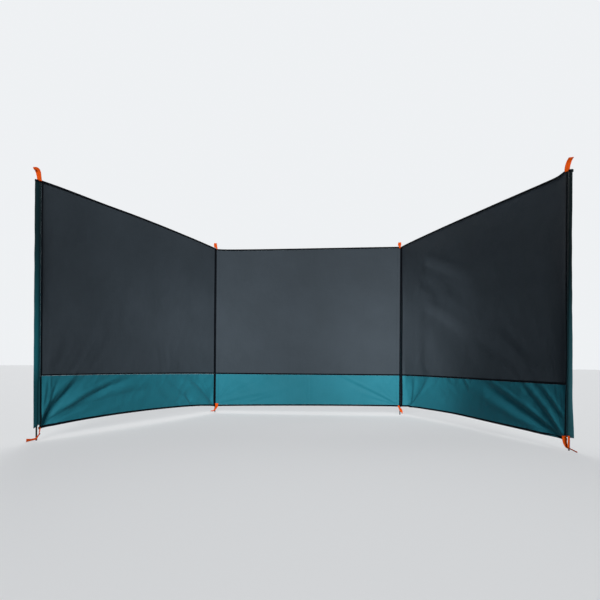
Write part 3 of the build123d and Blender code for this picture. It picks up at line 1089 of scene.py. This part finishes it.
def bind(bay, part, edge, down, start, end, half_at):
    """Folds a tape over an edge.  down is 1 for the top edge and -1 for the hem."""
    seed = seeds[bay.name] + (1 if part == "top" else 2)

    def place(s, t):
        u = mix(start, end, s)
        reach, side = round_edge(t)
        reach += BINDING_WAVER * wander(seed, u * 23) * clamp(reach / BINDING_LEG)
        v = edge(bay, u) - down * (reach + BINDING_HALF)
        cloth_v = min(max(v, hem_height), top_height)
        return bay.place(u, v, lie(bay, clamp(u / bay.length) * bay.length, cloth_v) + side * half_at(u))

    length = end - start
    girth = 2 * BINDING_LEG + pi * BINDING_HALF
    name = f"{bay.name}_{part}_binding"
    bm = pattern(length, girth, step_along=0.007, step_up=0.0012)
    if down < 0:
        bmesh.ops.reverse_faces(bm, faces=bm.faces)
    piece = sew(f"{name}_cloth", bm, place, bay.body, "binding_tape", TAPE_THICKNESS)
    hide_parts(name)


def thin(u):
    return BINDING_HALF


def over_left_sleeve(u):
    return max(BINDING_HALF, sleeve_depth(u) + FACE + SLEEVE_CLEARANCE if u > -SLEEVE_HALF else 0.0)


def over_right_sleeve(u):
    return over_left_sleeve(right.length - u)


AT_FOLD = FOLD_TAPE[0]
AT_SLEEVE = SLEEVE_HALF - HEM_UNDER_SLEEVE
bind(left, "top", top_at, 1, -SLEEVE_HALF, left.length - AT_FOLD, over_left_sleeve)
bind(middle, "top", top_at, 1, AT_FOLD, middle.length - AT_FOLD, thin)
bind(right, "top", top_at, 1, AT_FOLD, right.length + RIGHT_OVERHANG, over_right_sleeve)
bind(left, "hem", hem_at, -1, AT_SLEEVE, left.length - AT_FOLD, thin)
bind(middle, "hem", hem_at, -1, AT_FOLD, middle.length - AT_FOLD, thin)
bind(right, "hem", hem_at, -1, AT_FOLD, right.length - AT_SLEEVE, thin)
print("bindings", round(2 * BINDING_LEG + pi * BINDING_HALF, 4), "wide laid flat")

# %% [markdown]
# ## The folds
#
# At each inner pole the cloth turns on a round piping: a cord with the tape wrapped round it
# and sewn to the middle bay.  Behind it is the sleeve for the pole, drop-shaped in plan: round
# about the pole and drawn in to the piping.  Both are strips that follow a line in plan, swept
# up from the hem to the top, and both are pulled a little thinner than flat cloth.

# %% Piping and fold sleeves
PIPING_RADIUS = 0.0017
PIPING_TAPE = 0.0095
PIPING_SHOULDER = 0.004
POLE_SETBACK = 0.012
DROP_RADIUS = 0.0068
NECK_REACH = 0.0098
PULLED_THIN = 0.8


def piping(side, fold_u, inward):
    """The tape round its cord: from the front of the cloth, round the cord, to the back."""

    def place(s, t):
        half_turn = pi * PIPING_RADIUS
        run = s * (2 * PIPING_TAPE + half_turn)
        if PIPING_TAPE <= run <= PIPING_TAPE + half_turn:
            turn = pi * (run - PIPING_TAPE) / half_turn
            x, w = -PIPING_RADIUS * sin(turn), PIPING_RADIUS * cos(turn)
        else:
            behind = run > PIPING_TAPE
            x = run - PIPING_TAPE - half_turn if behind else PIPING_TAPE - run
            w = mix(PIPING_RADIUS, FACE, clamp(x / PIPING_SHOULDER)) * (-1 if behind else 1)
        u = fold_u + inward * x
        v = mix(hem_at(middle, fold_u) + 0.001, top_height - 0.0005, t)
        inside = min(max(u, 0.0), middle.length)
        return middle.place(u, v, w + lie(middle, inside, v))

    name = f"{side}_fold_piping"
    girth = 2 * PIPING_TAPE + pi * PIPING_RADIUS
    height = top_height - hem_height
    bm = pattern(girth, height, step_along=0.001, step_up=0.012)
    if inward < 0:
        bmesh.ops.reverse_faces(bm, faces=bm.faces)
    thickness = TAPE_THICKNESS * PULLED_THIN
    piece = sew(f"{name}_cloth", bm, place, "middle_bay", "binding_tape", thickness)
    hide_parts(name)


def fold_sleeve(side, pole_u):
    """The strip round an inner pole, closed over the pole's top."""
    seed = seeds["middle"] + pole_u
    height = top_height - hem_height
    cap_share = 0.012
    tangent = acos(DROP_RADIUS / NECK_REACH)

    def place(s, t):
        angle = tau * s
        off_neck = min(angle, tau - angle)
        reach = DROP_RADIUS / cos(max(0.0, tangent - off_neck))
        v = mix(hem_height + 0.004, top_height - 0.0006, min(1.0, t / (1 - cap_share)))
        slack = 0.0005 * wander(seed, 4 * cos(angle) + 9, v * 9) + 0.0005 * wander(seed, sin(angle), v * 40)
        reach += slack * clamp((off_neck - 0.3) / 0.5)
        reach *= clamp((1 - t) / cap_share)
        return middle.place(pole_u + reach * sin(angle), v, -POLE_SETBACK + reach * cos(angle))

    name = f"{side}_fold_sleeve"
    girth = 0.046
    bm = pattern(girth, height, step_along=0.0019, step_up=0.007)
    # The fold sleeves share the sleeve cloth's painted shade.
    piece = sew(f"{name}_cloth", bm, place, "middle_bay", "sleeve_cloth",
                CLOTH_THICKNESS * PULLED_THIN, merge=True)
    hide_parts(name)


piping("left", fold_u=0.0, inward=1)
piping("right", fold_u=middle.length, inward=-1)
fold_sleeve("left", pole_u=0.0)
fold_sleeve("right", pole_u=middle.length)
print("piping and sleeves at", len(fold_at), "folds")

# %% [markdown]
# ## Webbing
#
# A strap keeps its width and can only bend, twist and turn over.  So each one is given as a
# few stations along it: a place on its bay (along, up, in front), which way the strap lies
# across there, and the share of its width that shows where it is drawn together.  A smooth line
# through the stations carries the flat strip.

# %% Straps
STRAP_THICKNESS = 0.0018
STRAP_STEP = 0.0023
TAB_HALF = STRAP_THICKNESS * 0.6
TAB_TIP_RISE = 0.0016


def smooth_through(stations, share):
    """A Catmull-Rom line through stations, each a list of numbers of the same length."""
    last = len(stations) - 1
    place = min(share * last, last - 1e-9)
    k = floor(place)
    f = place - k
    before = stations[max(k - 1, 0)]
    here, there = stations[k], stations[k + 1]
    after = stations[min(k + 2, last)]
    return [
        0.5 * (2 * b + (c - a) * f + (2 * a - 5 * b + 4 * c - d) * f * f + (3 * b - a - 3 * c + d) * f**3)
        for a, b, c, d in zip(before, here, there, after)
    ]


def strap_bm(bay, stations, length):
    """A strip of webbing through stations on a bay."""
    bm = pattern(WEBBING_WIDTH, length, STRAP_STEP, STRAP_STEP)
    for vert in bm.verts:
        u, v, w, across_u, across_v, across_w, narrow = smooth_through(stations, clamp(vert.co.y))
        across = Vector((across_u, across_v, across_w)).normalized()
        spot = Vector((u, v, w)) + across * (vert.co.x - 0.5) * WEBBING_WIDTH * narrow
        vert.co = bay.place(*spot)
    return bm


def run_length(stations):
    return sum((Vector(b[:3]) - Vector(a[:3])).length for a, b in zip(stations, stations[1:]))


def strap_piece(name, node, bay, courses):
    """One or more strips of webbing as one piece."""
    lengths = [run_length(stations) for stations in courses]
    bms = [strap_bm(bay, stations, length) for stations, length in zip(courses, lengths)]
    piece = keep(name, joined(*bms), bay.body, "orange_webbing")
    thicken(piece, STRAP_THICKNESS)
    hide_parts(node)
    area = 0.0
    for stations, length in zip(courses, lengths):
        area += length * WEBBING_WIDTH * sum(s[6] for s in stations) / len(stations)


def tab(pole, bay, stations):
    """A tab of doubled webbing: up through the stations, over, and down again behind."""
    front = [[u, v, w + TAB_HALF, *rest] for u, v, w, *rest in stations]
    behind = [[u, v, w - TAB_HALF, *rest] for u, v, w, *rest in stations]
    tip = [mix(a, b, 0.5) for a, b in zip(front[-1], behind[-1])]
    tip[1] += TAB_TIP_RISE
    course = [*front, tip, *reversed(behind)]
    strap_piece(f"{pole}_tab_webbing", f"{pole}_top_tab", bay, [course])


HEAD = top_height + 0.001
tab("left_outer", left, [
    [0.0020, HEAD - 0.005, 0.0080, 0.90, 0.00, 0.40, 0.80],
    [0.0015, HEAD + 0.008, 0.0060, 0.85, 0.00, 0.50, 0.80],
    [0.0010, HEAD + 0.024, 0.0030, 0.80, 0.02, 0.60, 0.84],
    [-0.0010, HEAD + 0.040, 0.0010, 0.75, 0.25, 0.60, 0.90],
    [-0.0060, HEAD + 0.048, 0.0010, 0.50, 0.74, 0.40, 0.95],
    [-0.0140, HEAD + 0.052, 0.0000, 0.25, 0.92, 0.00, 0.80],
    [-0.0240, HEAD + 0.052, -0.0010, 0.10, 0.85, -0.40, 0.45],
])
RIGHT_TAB = right.length - 0.0140
tab("right_outer", right, [
    [RIGHT_TAB + 0.000, HEAD - 0.002, 0.0080, 0.85, 0.06, -0.50, 0.80],
    [RIGHT_TAB - 0.001, HEAD + 0.010, 0.0070, 0.80, 0.03, -0.60, 0.84],
    [RIGHT_TAB - 0.001, HEAD + 0.025, 0.0040, 0.75, 0.00, -0.68, 0.84],
    [RIGHT_TAB + 0.001, HEAD + 0.039, 0.0010, 0.72, 0.00, -0.72, 0.84],
    [RIGHT_TAB + 0.006, HEAD + 0.051, 0.0000, 0.70, 0.00, -0.72, 0.82],
    [RIGHT_TAB + 0.013, HEAD + 0.060, -0.0010, 0.70, -0.02, -0.72, 0.82],
])
tab("left_inner", middle, [
    [0.0105, HEAD - 0.009, 0.0040, 1.0, 0.00, 0.00, 0.36],
    [0.0100, HEAD + 0.001, 0.0035, 1.0, 0.00, 0.00, 0.42],
    [0.0025, HEAD + 0.006, 0.0020, 1.0, 0.10, 0.00, 0.90],
    [-0.0010, HEAD + 0.016, 0.0010, 1.0, 0.00, 0.05, 1.0],
    [-0.0020, HEAD + 0.028, 0.0010, 1.0, -0.05, 0.10, 1.0],
    [-0.0030, HEAD + 0.039, -0.0020, 1.0, -0.08, 0.10, 0.9],
])
RIGHT_FOLD = middle.length
tab("right_inner", middle, [
    [RIGHT_FOLD - 0.0125, HEAD - 0.014, 0.0040, 1.0, 0.00, 0.00, 0.50],
    [RIGHT_FOLD - 0.0135, HEAD + 0.000, 0.0035, 1.0, -0.05, 0.00, 0.55],
    [RIGHT_FOLD - 0.0140, HEAD + 0.006, 0.0020, 1.0, -0.05, 0.00, 0.90],
    [RIGHT_FOLD - 0.0145, HEAD + 0.014, 0.0010, 1.0, 0.00, -0.05, 1.0],
    [RIGHT_FOLD - 0.0140, HEAD + 0.023, 0.0010, 1.0, 0.05, -0.10, 1.0],
    [RIGHT_FOLD - 0.0130, HEAD + 0.032, -0.0020, 1.0, 0.10, -0.10, 0.9],
])
print("tabs", len(foot_at))

# %% [markdown]
# ## Foot straps
#
# Under each pole a strap comes down from the hem, is drawn together, passes the spike and lies
# out on the ground.  The right outer strap also has a narrow second leg, which closes its loop
# up to the sleeve.  At the inner poles the strap begins on the face of the middle bay's hem,
# beside the fold, so that it never stands in the way of an outer bay that is turned in.

# %% Foot straps
def foot_strap(pole, bay, *courses):
    strap_piece(f"{pole}_strap_webbing", f"{pole}_foot_strap", bay, courses)


foot_strap("left_outer", left, [
    [0.0170, 0.066, 0.0040, 0.30, 0.0, -0.95, 0.45],
    [0.0155, 0.050, 0.0030, 0.30, 0.0, -0.95, 0.55],
    [0.0130, 0.036, 0.0020, 0.45, 0.1, -0.85, 0.60],
    [0.0100, 0.027, 0.0030, 0.80, 0.5, -0.10, 0.95],
    [0.0040, 0.018, 0.0060, 0.50, 0.9, 0.10, 0.90],
    [-0.0070, 0.011, 0.0060, 0.00, 1.0, 0.20, 0.45],
    [-0.0260, 0.008, 0.0020, 0.00, 0.9, 0.40, 0.45],
    [-0.0450, 0.008, 0.0000, 0.00, 1.0, 0.20, 0.60],
    [-0.0520, 0.009, 0.0000, 0.00, 1.0, 0.10, 0.70],
])
foot_strap("right_outer", right, [
    [1.4810, 0.068, 0.0085, 0.88, 0.05, -0.40, 0.80],
    [1.4825, 0.052, 0.0085, 0.80, 0.10, -0.60, 0.76],
    [1.4855, 0.036, 0.0080, 0.75, 0.20, -0.62, 0.70],
    [1.4910, 0.022, 0.0080, 0.72, 0.32, -0.62, 0.55],
    [1.4990, 0.014, 0.0085, 0.60, 0.60, -0.40, 0.36],
    [1.5100, 0.013, 0.0105, 0.30, 0.90, 0.10, 0.22],
    [1.5320, 0.008, 0.0115, 0.20, 0.95, 0.10, 0.22],
    [1.5540, 0.003, 0.0130, 0.20, 0.95, 0.10, 0.22],
], [
    [1.5065, 0.072, 0.0100, 0.80, 0.0, -0.60, 0.34],
    [1.5065, 0.044, 0.0100, 0.80, 0.0, -0.60, 0.32],
    [1.5040, 0.016, 0.0095, 0.80, 0.1, -0.60, 0.30],
])
foot_strap("left_inner", middle, [
    [0.0190, 0.074, 0.0050, 1.0, 0.00, 0.00, 0.95],
    [0.0185, 0.060, 0.0050, 1.0, 0.00, 0.00, 0.92],
    [0.0180, 0.049, 0.0040, 1.0, 0.03, 0.00, 0.88],
    [0.0110, 0.037, -0.0010, 1.0, 0.15, 0.00, 0.85],
    [0.0030, 0.025, -0.0050, 0.95, 0.2, 0.10, 0.85],
    [-0.0020, 0.013, -0.0080, 0.70, 0.6, 0.30, 0.60],
    [-0.0140, 0.010, -0.0100, 0.10, 0.9, 0.40, 0.35],
    [-0.0340, 0.009, -0.0110, 0.00, 0.9, 0.30, 0.30],
])
foot_strap("right_inner", middle, [
    [RIGHT_FOLD - 0.0120, 0.074, 0.0050, 1.0, 0.00, 0.00, 0.50],
    [RIGHT_FOLD - 0.0115, 0.062, 0.0050, 1.0, -0.05, 0.00, 0.48],
    [RIGHT_FOLD - 0.0020, 0.052, 0.0010, 1.0, -0.10, 0.00, 0.80],
    [RIGHT_FOLD + 0.0040, 0.042, -0.0030, 1.0, -0.15, 0.00, 0.95],
    [RIGHT_FOLD + 0.0090, 0.030, -0.0060, 0.95, -0.2, 0.10, 0.95],
    [RIGHT_FOLD + 0.0120, 0.019, -0.0080, 0.80, -0.5, 0.30, 0.75],
    [RIGHT_FOLD + 0.0150, 0.013, -0.0100, 0.10, -0.8, 0.50, 0.45],
    [RIGHT_FOLD + 0.0200, 0.012, -0.0110, 0.00, -0.8, 0.60, 0.35],
])
print("foot straps", len(foot_at))

# %% [markdown]
# ## Stitches
#
# Rows of stitches hold the tapes and bindings.  Most are sewn with dark thread and hardly show.
# A few are pale: under the top binding, under the seam tape, along the inner edge of a sleeve,
# and over the middle bay's hem.  The pale row under the left bay's seam tape is much wider than
# the others: it is pale thread widened into a painted highlight along the tape's lower edge.  The
# pale row along a sleeve's inner edge is partly a painted highlight of that edge.  Each stitch is
# a bead of thread, drawn out along its row and sunk halfway into the cloth.

# %% Stitches
STITCH_PITCH = 0.0045
STITCH_LENGTH = 0.0036
STITCH_WIDTH = 0.0007
TOP_ROW_WIDTH = 0.0011
HEM_ROW_WIDTH = 0.0008
SLEEVE_ROW_AND_HIGHLIGHT_WIDTH = 0.0009
LEFT_SEAM_ROW_AND_HIGHLIGHT_WIDTH = 0.0034
FROM_BINDING = 0.0016
FROM_SEAM_TAPE = 0.0008
FROM_TAPE_EDGE = 0.0012
IN_BINDING = 0.0085
BINDING_PUFF = 0.0003
FACES_PER_BEAD = 20
ROW_FROM_END = 0.006
NEAR_FOLD_ROW = 0.030
FAR_FOLD_ROW = 0.034
IN_END_TAPE = 0.0015
SLEEVE_PUFF = 0.0011


def stitch_row(spot_at, length, width):
    """Beads of thread along a line: spot_at gives a point and the way out of the cloth."""
    bm = bmesh.new()
    count = floor(length / STITCH_PITCH)
    for k in range(count):
        here, out = spot_at((k + 0.5) / count)
        ahead, _ = spot_at((k + 0.6) / count)
        along = (ahead - here).normalized()
        side = out.cross(along).normalized()
        turn = Matrix((along, side, along.cross(side))).transposed().to_4x4()
        size = Matrix.Diagonal((STITCH_LENGTH / 2, width / 2, width / 2, 1))
        bmesh.ops.create_icosphere(
            bm, subdivisions=1, radius=1.0, matrix=Matrix.Translation(here) @ turn @ size
        )
    return bm


def level_row(bay, start, end, line, lift, width=STITCH_WIDTH):
    def spot_at(share):
        u = mix(start, end, share)
        v = line(bay, u)
        return bay.place(u, v, lie(bay, u, v) + lift), bay.front

    return stitch_row(spot_at, end - start, width)


def upright_row(bay, u, low, high, lift, width=STITCH_WIDTH):
    def spot_at(share):
        v = mix(low, high, share)
        return bay.place(u, v, lie(bay, u, v) + lift), bay.front

    return stitch_row(spot_at, high - low, width)


ON_CLOTH = CLOTH_THICKNESS / 2
ON_TAPE = CLOTH_THICKNESS / 2 + TAPE_THICKNESS
ON_BINDING = ON_TAPE + BINDING_PUFF
for bay in bays:
    start, end = bay.reach[0] + ROW_FROM_END, bay.reach[1] - ROW_FROM_END
    under_top = beside(top_at, -BINDING_LEG - FROM_BINDING)
    # On the left bay the pale seam row is widened into a painted highlight along the tape's edge.
    seam_row_and_highlight_width = LEFT_SEAM_ROW_AND_HIGHLIGHT_WIDTH if bay is left else STITCH_WIDTH
    pale = [
        level_row(bay, start, end, under_top, ON_CLOTH, TOP_ROW_WIDTH),
        level_row(bay, start, end, along_seam(-1, FROM_SEAM_TAPE), ON_CLOTH, seam_row_and_highlight_width),
    ]
    dark = [
        level_row(bay, start, end, beside(top_at, -IN_BINDING), ON_BINDING),
        level_row(bay, start, end, beside(hem_at, IN_BINDING), ON_BINDING),
        level_row(bay, start, end, along_seam(1, -FROM_TAPE_EDGE), ON_TAPE),
        level_row(bay, start, end, along_seam(-1, -FROM_TAPE_EDGE), ON_TAPE),
    ]
    if bay is middle:
        over_hem = beside(hem_at, BINDING_LEG + FROM_BINDING)
        pale.append(level_row(bay, start, end, over_hem, ON_CLOTH, HEM_ROW_WIDTH))
        for u in (NEAR_FOLD_ROW, FAR_FOLD_ROW, bay.length - FAR_FOLD_ROW, bay.length - NEAR_FOLD_ROW):
            low, high = hem_at(bay, u) + ROW_FROM_EDGE, top_at(bay, u) - ROW_FROM_EDGE
            dark.append(upright_row(bay, u, low, high, ON_CLOTH))
    else:
        near = SLEEVE_HALF if bay is left else bay.length - SLEEVE_HALF
        inward = 1 if bay is left else -1
        low, high = hem_at(bay, near) + ROW_FROM_EDGE, top_at(bay, near) - ROW_FROM_EDGE
        on_sleeve = near - inward * FROM_TAPE_EDGE
        # The pale row along the sleeve is partly a painted highlight of the sleeve's edge.
        pale.append(upright_row(bay, on_sleeve, low, high, ON_CLOTH + SLEEVE_PUFF, SLEEVE_ROW_AND_HIGHLIGHT_WIDTH))
        for offset in (IN_END_TAPE, END_TAPE_WIDTH - IN_END_TAPE):
            dark.append(upright_row(bay, near + inward * offset, low, high, ON_TAPE))
    for shade, rows in (("pale", pale), ("dark", dark)):
        print(bay.name, shade, "stitches", sum(len(row.faces) for row in rows) // FACES_PER_BEAD)
        keep(f"{bay.name}_{shade}_stitches", joined(*rows), bay.body, f"{shade}_thread")

# %% [markdown]
# ## Poles, spikes and plugs
#
# These keep the shape that the construction gives them and only get a finish.  The poles are
# powder-coated, which leaves a very fine grain.  The spikes are enamelled, and the enamel is
# worn to bare steel towards the ground.  The plugs are moulded plastic.

# %% Hard finishes
def grained_finish(name, scale, low, high, roughness, gloss, strength, depth):
    """A hard surface with a fine grain all over."""
    made = Finish(name, Specular_IOR_Level=gloss)
    grain = made.cloudy(made.on_piece(), scale, 2.0)
    made.feed("Base Color", made.tint(grain, low, high))
    made.feed("Roughness", roughness + grain * 0.2)
    made.bump(grain, strength, depth)
    return made


pole_steel = grained_finish(
    "pole_steel", 700.0, (0.06, 0.064, 0.068), (0.11, 0.115, 0.12),
    roughness=0.35, gloss=0.5, strength=0.3, depth=0.0003,
)
plug_plastic = grained_finish(
    "plug_plastic", 1400.0, (0.016, 0.016, 0.017), (0.026, 0.026, 0.027),
    roughness=0.45, gloss=0.45, strength=0.25, depth=0.0002,
)
spike_steel = Finish("spike_steel", Specular_IOR_Level=0.2)
spot = spike_steel.on_piece()
height = spike_steel.node("ShaderNodeSeparateXYZ", None, {0: spot}, 2)
scratches = spike_steel.cloudy(spot, 60.0, 5.0, (4.0, 4.0, 0.6))
worn = (scratches - height * 14.0).between(0.40, 0.60)
spike_steel.feed("Base Color", spike_steel.tint(worn, (0.008, 0.008, 0.009), (0.20, 0.19, 0.18)))
spike_steel.feed("Metallic", worn)
spike_steel.feed("Roughness", 0.36 + scratches * 0.2)
spike_steel.bump(scratches - worn * 0.5, 0.3, 0.0003)

for pole in foot_at:
    for part, finish in (("pole", pole_steel), ("spike", spike_steel), ("plug", plug_plastic)):
        holder = bpy.data.objects[f"{pole}_{part}"]
        for material_slot in holder.material_slots:
            material_slot.material = finish.material
print("poles finished", len(foot_at))
